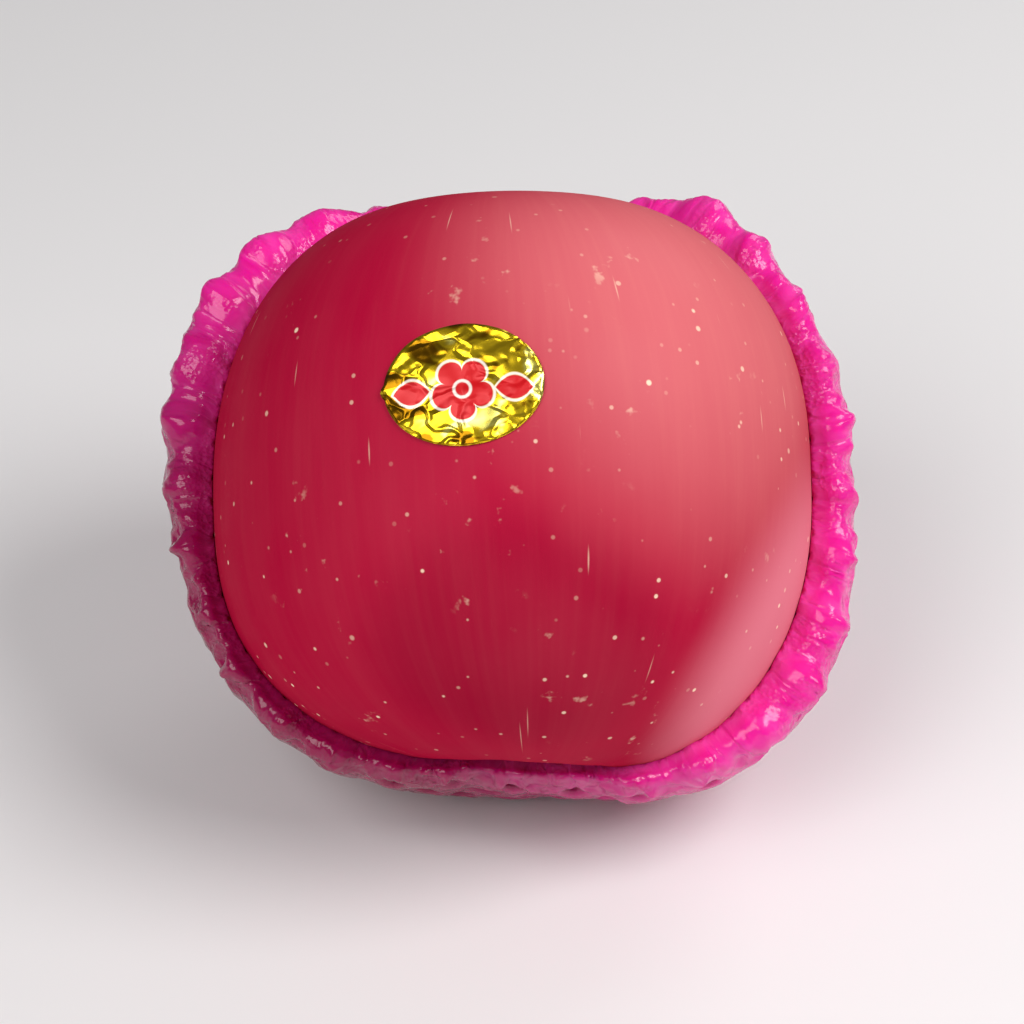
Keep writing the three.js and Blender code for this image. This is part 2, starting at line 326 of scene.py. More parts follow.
# %% Model the fruit
fruit_bm = bmesh.new()
bmesh.ops.create_uvsphere(fruit_bm, u_segments=220, v_segments=150, radius=1)
own_layer = fruit_bm.verts.layers.float_vector.new("own")
for vert in fruit_bm.verts:
    angle = math.acos(max(-1.0, min(1.0, vert.co.z)))
    eased = angle - 0.28 * math.sin(2 * angle)
    turn = math.atan2(vert.co.y, vert.co.x)
    side = math.sin(eased) if 0 < angle < math.pi else 0.0
    p = skin_point(Vector((side * math.cos(turn), side * math.sin(turn), math.cos(eased))))
    vert[own_layer] = p / RADIUS
    vert.co = middle + lean @ p
fruit = piece_from(fruit_bm, "fruit", ["apple"])

# %% [markdown]
# ### Skin
#
# The skin is crimson on the side that the sun reached and rose where it fades, with faint streaks
# from stalk to eye. Pale dots, the lenticels, cover it, closer together towards the eye. A few pale
# hairlines run the way the streaks do. All of it is procedural: noise stretched along the fruit's
# meridians makes the streaks, and cells whose centres happen to lie near the surface make the dots,
# which gives them their uneven sizes for nothing. The side towards the upper right is paler, partly
# as paler skin and partly as a painted highlight of the key lamp's broad glow. A patch at the lower
# right edge is paler too, a painted reflection, while low in front the red is deepest. A thin coat
# of wax gives the soft shine.

# %% Streaks, blush and painted highlight
skin = Paint("apple skin", IOR=1.42, Specular_IOR_Level=0.0, Coat_Weight=0.07, Coat_Roughness=0.3)

own = skin.add("ShaderNodeAttribute", {"attribute_name": "own"}).outputs["Vector"]
place = skin.add("ShaderNodeTexCoord").outputs["Object"]
own_xyz = skin.add("ShaderNodeSeparateXYZ", None, Vector=own).outputs
flat_own = skin.add("ShaderNodeCombineXYZ", None, X=own_xyz["X"], Y=own_xyz["Y"]).outputs[0]
across = skin.add("ShaderNodeVectorMath", {"operation": "LENGTH"}, i0=flat_own).outputs["Value"]
around = skin.add("ShaderNodeVectorMath", {"operation": "NORMALIZE"}, i0=flat_own).outputs["Vector"]
around_xyz = skin.add("ShaderNodeSeparateXYZ", None, Vector=around).outputs


def along_meridians(turns, length):
    """Coordinates that change fast round the fruit and slowly from stalk to eye."""
    return skin.add(
        "ShaderNodeCombineXYZ", None,
        X=skin.math("MULTIPLY", around_xyz["X"], turns),
        Y=skin.math("MULTIPLY", around_xyz["Y"], turns),
        Z=skin.math("MULTIPLY", own_xyz["Z"], length)).outputs[0]


broad_streaks = skin.ramp(skin.noise(along_meridians(4.5, 0.8), 1.0, 3.0), 0.35, 0.68)
fine_streaks = skin.ramp(skin.noise(along_meridians(26.0, 1.6), 1.0, 3.0, 0.6), 0.4, 0.75)
cloud = skin.ramp(skin.noise(place, 28.0, 3.0), 0.3, 0.7)

# Paler towards the upper right: partly paler skin, partly a painted highlight of the key lamp's broad glow.
PALE_LIT_SIDE = (picture_right * 0.57 + picture_up * 0.52 + to_viewer * 0.56).normalized()
REFLECTING_EDGE = (picture_right * 0.86 - picture_up * 0.48 + to_viewer * 0.1).normalized()
DARK_SPOT = (picture_right * 0.02 - picture_up * 0.46 + to_viewer * 0.89).normalized()
skin_way = skin.from_middle(place)
pale_lit_side = skin.ramp(skin.reach(skin_way, PALE_LIT_SIDE), 0.52, 1.1)
# Paler along the lower right edge: a painted reflection of light at the grazing edge.
edge_reflection = skin.ramp(skin.reach(skin_way, REFLECTING_EDGE), 0.77, 0.97, 0.0, 0.85)
dark_spot = skin.ramp(skin.reach(skin_way, DARK_SPOT), 0.87, 1.0, 0.0, 0.5)

CRIMSON = linear(176, 0, 52)
DEEP_CRIMSON = linear(140, 0, 40)
REFLECTED_ROSE = linear(240, 132, 150)
ROSE = linear(222, 112, 118)
SALMON = linear(244, 160, 140)

# The blush mixes the paler skin with the painted highlight.
blush_and_highlight = skin.math("MULTIPLY_ADD", pale_lit_side, 0.9, skin.math("MULTIPLY", broad_streaks, 0.03))
blush_and_highlight = skin.math("MULTIPLY_ADD", cloud, 0.06, blush_and_highlight)
colour = skin.blend(blush_and_highlight, skin.blend(dark_spot, CRIMSON, DEEP_CRIMSON), ROSE)
# The painted reflection at the lower right edge.
colour = skin.blend(edge_reflection, colour, REFLECTED_ROSE)
streaking = skin.math("MULTIPLY", fine_streaks, skin.math("MULTIPLY_ADD", blush_and_highlight, 0.05, 0.01))
colour = skin.blend(streaking, colour, SALMON)

# %% Lenticels
def dots(scale, radius, share, soft=0.35):
    """Round pale spots: 1 inside a spot and 0 outside. Only a share of the cells has one."""
    cells = skin.add("ShaderNodeTexVoronoi", None, Vector=place, Scale=scale, Randomness=1.0)
    picked = skin.add("ShaderNodeSeparateColor", None, Color=cells.outputs["Color"]).outputs[0]
    chosen = skin.math("LESS_THAN", picked, share)
    spot = skin.ramp(cells.outputs["Distance"], radius, radius * (1 - soft), 0.0, 1.0)
    bright = skin.ramp(picked, share, 0.0, 0.15, 1.0)
    return skin.math("MULTIPLY", spot, skin.math("MULTIPLY", chosen, bright))


towards_eye = skin.ramp(own_xyz["Z"], 0.75, -0.6, 0.25, 1.0)
small_dots = skin.math("MULTIPLY", dots(330.0, 0.13, 0.95, 0.5), towards_eye)
large_dots = dots(170.0, 0.085, 0.7, 0.5)
flecks = skin.ramp(skin.noise(place, 330.0, 3.0, 0.6), 0.64, 0.74)
fleck_areas = skin.ramp(skin.noise(place, 60.0, 1.0), 0.52, 0.66)
soft_spots = skin.math("MULTIPLY", flecks, skin.math("MULTIPLY", fleck_areas, 0.45))
all_dots = skin.math("MAXIMUM", skin.math("MAXIMUM", small_dots, large_dots), soft_spots)

hair_cells = skin.add(
    "ShaderNodeTexVoronoi", None, Vector=along_meridians(40.0, 3.2), Scale=1.0, Randomness=1.0)
hair_picked = skin.add("ShaderNodeSeparateColor", None, Color=hair_cells.outputs["Color"]).outputs[1]
hair_chosen = skin.math("LESS_THAN", hair_picked, 0.1)
hairs = skin.math("MULTIPLY", skin.ramp(hair_cells.outputs["Distance"], 0.17, 0.02), hair_chosen)
marks = skin.math("MAXIMUM", all_dots, skin.math("MULTIPLY", hairs, 0.45))

CREAM = linear(255, 226, 196)
colour = skin.blend(skin.math("MULTIPLY", marks, 0.92), colour, CREAM)

# %% Russet in the cavity, wax and fine relief
RUSSET = linear(168, 128, 58)
in_cavity = skin.math("MULTIPLY", skin.ramp(across, 0.36, 0.12), skin.ramp(own_xyz["Z"], 0.2, 0.5))
in_basin = skin.math("MULTIPLY", skin.ramp(across, 0.24, 0.08), skin.ramp(own_xyz["Z"], -0.2, -0.5))
ragged = skin.ramp(skin.noise(along_meridians(9.0, 3.0), 1.0, 4.0), 0.3, 0.6, 0.5, 1.0)
russet = skin.math("MULTIPLY", skin.math("MAXIMUM", in_cavity, in_basin), ragged)
colour = skin.blend(russet, colour, RUSSET)

wax = skin.noise(place, 60.0, 4.0, 0.6)
roughness = skin.math("ADD", skin.ramp(wax, 0.3, 0.7, 0.4, 0.52), skin.math("MULTIPLY", marks, 0.15))
pores = skin.noise(place, 1500.0, 2.0)
relief = skin.bump(pores, 0.12, 0.0002)
skin.into(skin.shader, Base_Color=colour, Roughness=roughness, Normal=relief)
fruit.data.materials.append(skin.material)
print("skin has", len(skin.tree.nodes), "nodes")

# %% [markdown]
# ## The stalk
#
# The stalk is a woody twig that thickens at the cut tip where it left the tree. A circle is extruded
# up a slightly bent line, ring by ring, and each ring is scaled and roughened as it goes.

# %% Model the stalk
STALK_RADIUS = 1.35 * MM
STALK_LENGTH = 15.5 * MM
STALK_ROOT = 3 * MM
STALK_BEND = 2.2 * MM
STALK_WIDTHS = [1.1, 1.0, 0.94, 0.9, 0.88, 0.88, 0.9, 0.95, 1.02, 1.12, 1.3, 1.5, 1.42]

stalk_foot = SHOULDER - CAVITY["depth"] - STALK_ROOT
stalk_bm = bmesh.new()
ring = bmesh.ops.create_circle(stalk_bm, cap_ends=True, segments=20, radius=STALK_RADIUS)["verts"]
bmesh.ops.translate(stalk_bm, verts=ring, vec=(0, 0, stalk_foot))
top = stalk_bm.faces[:]
bmesh.ops.reverse_faces(stalk_bm, faces=top)
step = STALK_LENGTH / (len(STALK_WIDTHS) - 1)
for number, width in enumerate(STALK_WIDTHS[1:], start=1):
    made = bmesh.ops.extrude_face_region(stalk_bm, geom=top)
    new_top = [f for f in made["geom"] if isinstance(f, bmesh.types.BMFace)]
    if number > 1:
        bmesh.ops.delete(stalk_bm, geom=top, context="FACES_ONLY")
    ring = [v for v in made["geom"] if isinstance(v, bmesh.types.BMVert)]
    rise = max(0.0, number * step - STALK_ROOT) / (STALK_LENGTH - STALK_ROOT)
    centre = Vector((STALK_BEND * rise**2, 0, stalk_foot + number * step))
    for vert in ring:
        turn = math.atan2(vert.co.y, vert.co.x - sum(v.co.x for v in ring) / len(ring))
        grain = 1 + 0.09 * noise.noise(Vector((3 * math.cos(turn), 3 * math.sin(turn), number * 0.35)))
        radius = STALK_RADIUS * width * grain
        vert.co = centre + Vector((math.cos(turn), math.sin(turn), 0)) * radius
    top = new_top
bmesh.ops.recalc_face_normals(stalk_bm, faces=stalk_bm.faces)
stalk_own = stalk_bm.verts.layers.float_vector.new("own")
for vert in stalk_bm.verts:
    vert[stalk_own] = vert.co / MM
    vert.co = middle + lean @ vert.co
stalk = piece_from(stalk_bm, "stalk", ["stalk"])
rounding = stalk.modifiers.new("rounding", "SUBSURF")
rounding.levels = rounding.render_levels = 2

# %% Bark of the stalk
bark = Paint("stalk bark", Roughness=0.8)
grain_place = bark.add("ShaderNodeAttribute", {"attribute_name": "own"}).outputs["Vector"]
stretched = bark.add("ShaderNodeVectorMath", {"operation": "MULTIPLY"}, i0=grain_place, i1=(3.0, 3.0, 0.5))
grain = bark.noise(stretched.outputs["Vector"], 1.0, 5.0, 0.65)
bark_colour = bark.blend(bark.ramp(grain, 0.35, 0.65), linear(62, 38, 20), linear(134, 98, 58))
bark.into(bark.shader, Base_Color=bark_colour, Normal=bark.bump(grain, 0.6, 0.0004))
stalk.data.materials.append(bark.material)

# %% [markdown]
# ## The eye
#
# At the other end are the dry remains of the flower: five pointed sepals that curl out of the basin
# and a tuft of withered stamens. Each sepal starts as a small grid that is narrowed to a point and
# bent by its distance along the leaf. The tuft is a ring of thin cones.

# %% Model the sepals
SEPALS = 5
SEPAL_LENGTH = 6.2 * MM
SEPAL_WIDTH = 3.6 * MM
EYE_RADIUS = 2.6 * MM
basin_floor = -BASE + BASIN["depth"]


def sepal_point(along, over):
    """A point of one sepal, from its root at 0 to its tip at 1, in the fruit's own frame."""
    width = SEPAL_WIDTH * (1 - along**1.6) * (0.75 + 0.6 * along)
    out = EYE_RADIUS - 0.9 * MM + SEPAL_LENGTH * (0.12 * along + 0.42 * along**2.2)
    drop = SEPAL_LENGTH * (0.78 * along - 0.25 * along**2)
    cup = 0.5 * MM * (1 - over**2)
    return Vector((out + cup, over * width / 2, basin_floor - 0.5 * MM - drop))


eye_bm = bmesh.new()
for number in range(SEPALS):
    sheet = bmesh.ops.create_grid(eye_bm, x_segments=10, y_segments=6, size=1)["verts"]
    for vert in sheet:
        wrinkle = 0.25 * MM * noise.noise(Vector((vert.co.x * 2, vert.co.y * 2, number * 5.0)))
        vert.co = sepal_point((vert.co.x + 1) / 2, vert.co.y) + Vector((wrinkle, wrinkle, wrinkle))
    bmesh.ops.rotate(eye_bm, verts=sheet, matrix=Matrix.Rotation(number * math.tau / SEPALS, 3, "Z"))
bmesh.ops.solidify(eye_bm, geom=eye_bm.faces[:], thickness=0.3 * MM)

# %% Add the button and the stamens
button = bmesh.ops.create_uvsphere(eye_bm, u_segments=24, v_segments=10, radius=EYE_RADIUS)["verts"]
bmesh.ops.scale(eye_bm, verts=button, vec=(1, 1, 0.35))
bmesh.ops.translate(eye_bm, verts=button, vec=(0, 0, basin_floor - 0.2 * MM))
STAMENS = 14
for number in range(STAMENS):
    hair = bmesh.ops.create_cone(
        eye_bm, cap_ends=True, segments=6, radius1=0.22 * MM, radius2=0.1 * MM, depth=3.2 * MM)["verts"]
    bmesh.ops.translate(eye_bm, verts=hair, vec=(0, 0, -1.6 * MM))
    spread = Matrix.Rotation(math.radians(12 + 16 * (number % 3)), 3, "X")
    around_eye = Matrix.Rotation(number * 2.4, 3, "Z")
    bmesh.ops.rotate(eye_bm, verts=hair, matrix=around_eye @ spread)
    bmesh.ops.translate(eye_bm, verts=hair, vec=(0, 0, basin_floor - 0.6 * MM))
bmesh.ops.recalc_face_normals(eye_bm, faces=eye_bm.faces)
for vert in eye_bm.verts:
    vert.co = middle + lean @ vert.co
calyx = piece_from(eye_bm, "calyx", ["calyx"])

dry_leaf = Paint("dry sepals", Roughness=0.85)
leaf_place = dry_leaf.add("ShaderNodeTexCoord").outputs["Object"]
leaf_noise = dry_leaf.noise(leaf_place, 700.0, 4.0, 0.6)
leaf_colour = dry_leaf.blend(dry_leaf.ramp(leaf_noise, 0.35, 0.65), linear(64, 46, 26), linear(140, 118, 70))
dry_leaf.into(dry_leaf.shader, Base_Color=leaf_colour, Normal=dry_leaf.bump(leaf_noise, 0.5, 0.0003))
calyx.data.materials.append(dry_leaf.material)

# %% [markdown]
# ## The foil label
#
# The label is an oval of metallised film with a pull tab at its left end. A circle is extruded
# inwards ring by ring to a disc, its flat shape is kept as a map for the print, and then the disc
# is laid on the skin. Film that is pressed on a round fruit crinkles, and the crinkles break up the
# gold's reflections, with bright and dark patches of painted reflection in the foil's colour besides.

# %% Model the label
LABEL_LENGTH = 21.8 * MM
LABEL_HEIGHT = 16.6 * MM
LABEL_TURN = math.radians(1)
LABEL_PLACE = Vector((-6.7, -41.9, 14.1)).normalized()
TAB = 0.5 * MM
TAB_WIDTH = 0.12
FILM = 0.16 * MM
LIFT = 0.2 * MM

label_out = Matrix.Rotation(-VIEW_HEIGHT, 3, "X") @ LABEL_PLACE
label_right = (picture_right - label_out * label_out.x).normalized()
label_up = label_out.cross(label_right)
label_turn = Matrix.Rotation(LABEL_TURN, 3, label_out)
label_right = label_turn @ label_right
label_up = label_turn @ label_up
label_centre = label_out * filled_radius(unlean @ label_out)

label_bm = bmesh.new()
rim = bmesh.ops.create_circle(label_bm, cap_ends=False, segments=96, radius=1)["verts"]
rim_edges = label_bm.edges[:]
RINGS = 22
for number in range(RINGS - 1, 0, -1):
    made = bmesh.ops.extrude_edge_only(label_bm, edges=rim_edges)["geom"]
    rim_edges = [e for e in made if isinstance(e, bmesh.types.BMEdge) and len(e.link_faces) == 1]
    ring = {v for e in rim_edges for v in e.verts}
    for vert in ring:
        vert.co = vert.co.normalized() * number / RINGS
bmesh.ops.contextual_create(label_bm, geom=rim_edges)
bmesh.ops.recalc_face_normals(label_bm, faces=label_bm.faces)
if sum(f.normal.z for f in label_bm.faces) < 0:
    bmesh.ops.reverse_faces(label_bm, faces=label_bm.faces)

# %% Keep the flat shape as a flat map, then lay the label on the skin
print_layer = label_bm.loops.layers.uv.new("print")
for face in label_bm.faces:
    for loop in face.loops:
        loop[print_layer].uv = loop.vert.co.xy


def skin_height(d):
    """How far the uneven skin stands off the filled shape, along a direction."""
    own_d = unlean @ d
    return skin_point(own_d).length - filled_radius(own_d)


for vert in label_bm.verts:
    x, y, _ = vert.co
    from_tab = abs(math.atan2(y, -x))
    tab = TAB * max(0.0, 1 - (from_tab / TAB_WIDTH) ** 2) * math.hypot(x, y) ** 4
    flat = label_right * (x * LABEL_LENGTH / 2 - tab) + label_up * (y * LABEL_HEIGHT / 2)
    d = (label_centre + flat).normalized()
    crinkle = 0.14 * MM * noise.noise(Vector((x * 2.6, y * 2.0, 7.0)))
    lifted = 0.25 * MM * max(0.0, math.hypot(x, y) - 0.85) * (1 + noise.noise(Vector((x * 2, y * 2, 1.0))))
    vert.co = off_fruit(d, skin_height(d) + LIFT + crinkle + lifted)
label = piece_from(label_bm, "label", ["label"])
film = label.modifiers.new("film", "SOLIDIFY")
film.thickness = FILM
film.offset = 0

# %% [markdown]
# ### Gold foil and its print
#
# The print is a plain red blossom between two leaves, edged in white, drawn with distances in the
# label's own flat coordinates. The foil under it is a polished metal with painted reflections in its
# colour, which drifts between bright gold and dark bronze in noisy bands and grows brighter to the right.

# %% Foil
foil = Paint("gold foil")
flat_uv = foil.add("ShaderNodeUVMap", {"uv_map": "print"}).outputs["UV"]
uv = foil.add("ShaderNodeSeparateXYZ", None, Vector=flat_uv).outputs
drift = foil.add("ShaderNodeTexNoise", None, Vector=flat_uv, Scale=1.6, Detail=2.0).outputs["Color"]
drifted = foil.add("ShaderNodeVectorMath", {"operation": "ADD"}, i0=flat_uv, i1=drift).outputs["Vector"]
crease_cells = foil.add(
    "ShaderNodeTexVoronoi", {"feature": "DISTANCE_TO_EDGE"}, Vector=drifted, Scale=1.7).outputs["Distance"]
crease = foil.ramp(crease_cells, 0.0, 0.16)
# Painted reflections: the gold's colour drifts between dark bronze and bright gold in noisy bands and grows
# brighter to the right, where the key lamp is.
painted_glare = foil.math("MULTIPLY_ADD", uv["X"], 0.10, foil.noise(flat_uv, 1.5, 2.0, 0.5, 1.4))
gold = foil.blend(foil.ramp(painted_glare, 0.38, 0.48), linear(148, 104, 14), linear(250, 212, 40))
gold = foil.blend(foil.ramp(painted_glare, 0.54, 0.64), gold, linear(255, 242, 120))


# %% The printed flower
def inside(distance, edge=0.02):
    """1 where a signed distance is below zero, with a crisp edge."""
    return foil.ramp(distance, edge / 2, -edge / 2)


def petal_distance(u, v, size, petals=5):
    """Signed distance, roughly, to a flower with round petals."""
    radius = foil.math("SQRT", foil.math("ADD", foil.math("MULTIPLY", u, u), foil.math("MULTIPLY", v, v)))
    turn = foil.math("ARCTAN2", v, u)
    half_turns = foil.math("MULTIPLY_ADD", turn, petals / 2, math.pi / 4)
    lobe = foil.math("ABSOLUTE", foil.math("COSINE", half_turns))
    reach = foil.math("MULTIPLY", foil.math("POWER", lobe, 0.5), size * 0.42)
    return foil.math("SUBTRACT", radius, foil.math("ADD", reach, size * 0.58))


def leaf_distance(u, v, centre, half_length, half_width):
    """Signed distance, roughly, to a pointed leaf that lies along the label."""
    along = foil.math("DIVIDE", foil.math("SUBTRACT", u, centre), half_length)
    narrowing = foil.math("SUBTRACT", 1.0, foil.math("MULTIPLY", along, along))
    width = foil.math("MULTIPLY", narrowing, half_width)
    return foil.math("SUBTRACT", foil.math("ABSOLUTE", v), width)


u = uv["X"]
v = foil.math("MULTIPLY", foil.math("ADD", uv["Y"], 0.08), LABEL_HEIGHT / LABEL_LENGTH)
flower = petal_distance(u, v, 0.38)
leaves = foil.math(
    "MINIMUM", leaf_distance(u, v, -0.63, 0.23, 0.15), leaf_distance(u, v, 0.63, 0.23, 0.15))
motif = foil.math("MINIMUM", flower, leaves)
eye_of_flower = foil.math("SUBTRACT", foil.math("SQRT", foil.math(
    "ADD", foil.math("MULTIPLY", u, u), foil.math("MULTIPLY", v, v))), 0.1)
red_area = inside(motif)
white_area = foil.math("SUBTRACT", inside(foil.math("SUBTRACT", motif, 0.035)), red_area)
white_eye = inside(foil.math("SUBTRACT", foil.math("ABSOLUTE", eye_of_flower), 0.018))
white_area = foil.math("MAXIMUM", white_area, white_eye)
ink = foil.math("MAXIMUM", red_area, white_area)
printed = foil.blend(red_area, gold, linear(214, 10, 22))
printed = foil.blend(white_area, printed, linear(250, 238, 226))
metal = foil.math("MULTIPLY_ADD", ink, -0.85, 1.0)
foil_relief = foil.bump(crease, 0.5, 0.0004)
foil_relief = foil.bump(foil.noise(flat_uv, 2.2, 1.0, 0.4), 0.6, 0.0012, foil_relief)
foil.into(
    foil.shader, Base_Color=printed, Metallic=metal, Normal=foil_relief,
    Roughness=foil.math("MULTIPLY_ADD", ink, 0.12, 0.26))
label.data.materials.append(foil.material)
print("foil has", len(foil.tree.nodes), "nodes")

# %% [markdown]
# ## The foam net
#
# The net is a sleeve of foamed strands that cross in diamonds. It is folded double at its mouth, with
# a short layer inside that lies on the skin, and the fold makes the thick lumpy rim. It could be 64
# separate strands, but on the real net the strands are fused where they cross. So a sleeve of
# diamonds is modelled as one straight tube: a line is spun to a wall of rectangles, each is poked to
# four triangles, and the edges between rectangles are dissolved, which leaves diamonds. Insetting
# every diamond and deleting its middle leaves the strands. At the fold the middles stay, as a shallow
# hollow. The strands are halved lengthwise, so that their openings stay diamonds when they round
# off. They get thickness while the tube is straight, and then every point is wrapped round the fruit.

# %% Sizes of the net
COLUMNS = 32
STRAND = 7.6 * MM
ROWS_TO_MOUTH = 6
ROWS_TO_TAIL = 3
MOUTH_HEIGHT = math.radians(46)
MOUTH_DIP = math.radians(24)
DIP_WIDTH = math.radians(34)
NET_REACH = RADIUS + 4.4 * MM
INNER_LAYER = 0.2 * MM
OUTER_LAYER = 4.25 * MM
FOAM_THICK = 2.9 * MM
STRAND_HALF = {
    "inner": 1.3 * MM, "fold": 1.5 * MM, "rim": 2.2 * MM, "shoulder": 1.2 * MM, "outer": 1.08 * MM}
FULL_HEIGHT = 5.9 * MM
DIMPLE = 0.8 * MM
INNER_ROWS = 3

mouth = Vector((0, -math.cos(MOUTH_HEIGHT), math.sin(MOUTH_HEIGHT)))
low_side = Vector((0, -mouth.z, mouth.y))
pitch = math.tau / COLUMNS


def row_step(angle):
    """Angle between two rows of crossings, so that a strand keeps its length."""
    half_pitch = math.pi * NET_REACH * math.sin(angle) / COLUMNS
    return math.sqrt(STRAND**2 - half_pitch**2) / NET_REACH


rows = [math.pi / 2 + MOUTH_HEIGHT]
for _ in range(ROWS_TO_MOUTH):
    rows.insert(0, rows[0] - row_step(rows[0]))
for _ in range(ROWS_TO_TAIL):
    rows.append(rows[-1] + row_step(rows[-1]))
last_row = len(rows) - 1
print("rows of crossings, degrees from the mouth:", [round(math.degrees(a)) for a in rows])

# %% A straight tube of diamonds
tube_radius = NET_REACH
row_height = STRAND * 0.76

net_bm = bmesh.new()
line_x = tube_radius * math.cos(pitch / 2)
line_y = tube_radius * math.sin(pitch / 2)
line = [
    net_bm.verts.new((line_x, line_y, row * row_height))
    for row in range(-INNER_ROWS, last_row + 1, 2)]
line_edges = [net_bm.edges.new(pair) for pair in zip(line, line[1:])]
bmesh.ops.spin(
    net_bm, geom=line + line_edges, axis=(0, 0, 1), cent=(0, 0, 0), angle=math.tau,
    steps=COLUMNS, use_merge=True)
bmesh.ops.remove_doubles(net_bm, verts=net_bm.verts, dist=0.01 * MM)


def by_place(part):
    """A number that puts edges and faces in the same order on every run: by height, then by turn."""
    centre = sum((vert.co for vert in part.verts), Vector()) / len(part.verts)
    return 100 * round(centre.z / MM, 2) + round(math.atan2(centre.y, centre.x), 4)


net_bm.edges.sort(key=by_place)
net_bm.faces.sort(key=by_place)
old_edges = [e for e in net_bm.edges if len(e.link_faces) == 2]
bmesh.ops.poke(net_bm, faces=net_bm.faces[:])
for vert in net_bm.verts:
    vert.co.xy = vert.co.xy.normalized() * tube_radius
bmesh.ops.dissolve_edges(net_bm, edges=[e for e in old_edges if e.is_valid], use_verts=False)
print("diamonds:", len(net_bm.faces))


# %% Strands: inset each diamond and take its middle out
def layer_of(face):
    height = face.calc_center_median().z / row_height
    for layer, limit in (("inner", -0.5), ("fold", 0.5), ("rim", 1.5), ("shoulder", 2.5)):
        if height < limit:
            return layer
    return "outer"


tails = {v for e in net_bm.edges if len(e.link_faces) == 1 for v in e.verts}
lengthwise = set(net_bm.edges)
by_layer = {}
for face in net_bm.faces:
    by_layer.setdefault(layer_of(face), []).append(face)
middles = []
for layer, faces in by_layer.items():
    bmesh.ops.inset_individual(net_bm, faces=faces, thickness=STRAND_HALF[layer], use_even_offset=True)
    lengthwise.update(e for face in faces for e in face.edges)
    if layer != "fold":
        middles += faces
        continue
    for vert in {v for face in faces for v in face.verts}:
        share = 0.7 + 0.5 * max(-1.0, min(1.0, vert.co.z / (2 * MM)))
        vert.co.xy = vert.co.xy.normalized() * (vert.co.xy.length - DIMPLE * share)
bmesh.ops.delete(net_bm, geom=middles, context="FACES_ONLY")
ends = [f for f in net_bm.faces if len([v for v in f.verts if v in tails]) == 2]
bmesh.ops.delete(net_bm, geom=ends, context="FACES")
halved = [e for e in net_bm.edges if e in lengthwise and e.link_faces]
bmesh.ops.subdivide_edges(net_bm, edges=halved, cuts=1, use_grid_fill=True)
bmesh.ops.recalc_face_normals(net_bm, faces=net_bm.faces)
if sum(f.normal.dot(Vector((*f.calc_center_median().xy, 0))) for f in net_bm.faces) < 0:
    bmesh.ops.reverse_faces(net_bm, faces=net_bm.faces)
net = piece_from(net_bm, "foam_net", ["foam_net"])

thickness = net.modifiers.new("foam", "SOLIDIFY")
thickness.thickness = FOAM_THICK
thickness.offset = 0
rounding = net.modifiers.new("rounding", "SUBSURF")
rounding.levels = rounding.render_levels = 1
apply_modifiers(net)
print("net rounded to", len(net.data.polygons), "faces")

# %% [markdown]
# ### Wrapping the net
#
# Each point of the straight tube says how far round it is, how many rows it is from the fold, and how
# far it stands off the tube's wall. The rows below the fold become the inner layer and the rows above
# it the outer one, and half a turn of a small circle joins the two. The inner layer is twisted by
# half a diamond, so that its crossings fill the holes of the outer one. The net isn't even: it bulges
# in places and is drawn tight in others, and low in front it is tucked a little into the fruit. Where
# the fruit's weight rests on the table the foam is pressed thin. The rim is cut finer before it is
# wrapped, so that it can carry its relief.

# %% Wrap every point
FOLD_RADIUS = (OUTER_LAYER - INNER_LAYER) / 2
HALF_FOLD = 0.5
SCALLOP = 0.25 * MM
CONTACT = 0.05 * MM


def row_angle(row):
    """Angle from the mouth's direction at a whole or part row."""
    whole = min(int(row), last_row - 1)
    return rows[whole] + (rows[whole + 1] - rows[whole]) * (row - whole)


# Where the net bulges or is drawn tight: turn from the lowest side, width in degrees, millimetres
BULGES = [
    (55, 22, 2.8), (-130, 30, 2.5), (0, 25, -1.4), (-62, 18, -0.8),
    (100, 30, 1.1), (-95, 18, 1.6), (148, 14, 3.2), (-121, 12, 1.2)]
TUCK = -0.6 * MM
FRILL = 0.7 * MM


def fullness(turn):
    """How much further out the net stands at a place round the mouth."""
    total = 0.0
    for at, width, amount in BULGES:
        away = (math.degrees(turn) - at + 180) % 360 - 180
        total += amount * MM * math.exp(-((away / width) ** 2))
    return total


